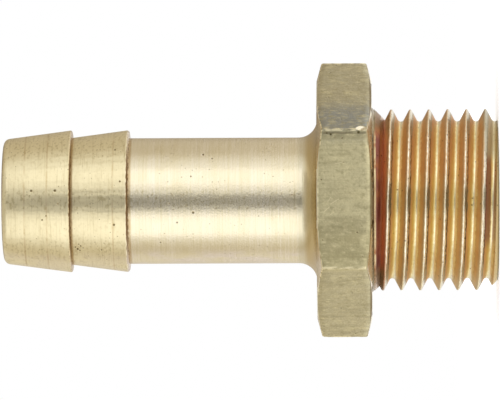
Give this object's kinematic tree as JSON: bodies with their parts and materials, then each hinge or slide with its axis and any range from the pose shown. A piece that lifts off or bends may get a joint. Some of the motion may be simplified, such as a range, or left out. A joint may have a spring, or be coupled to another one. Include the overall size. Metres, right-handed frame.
{
  "type": "hose tail fitting",
  "caption": "One-piece turned brass hose tail: a barbed stem for a push-on hose, a spanner hexagon and a short parallel male pipe thread, bored right through.",
  "frame": {"origin": "centre of the end face of the thread, on which the part stands", "axes": "+Z along the bore, from the thread to the barbed tip; +X towards a corner of the hexagon, with flats facing -Y and +Y"},
  "size_m": [0.0196, 0.0168, 0.0352],
  "materials": {
    "turned_brass": "turned satin brass, with a drawn hexagon and a darker, redder thread"
  },
  "bodies": {
    "root": {"hose_tail_body": "turned_brass"}
  },
  "joints": []
}
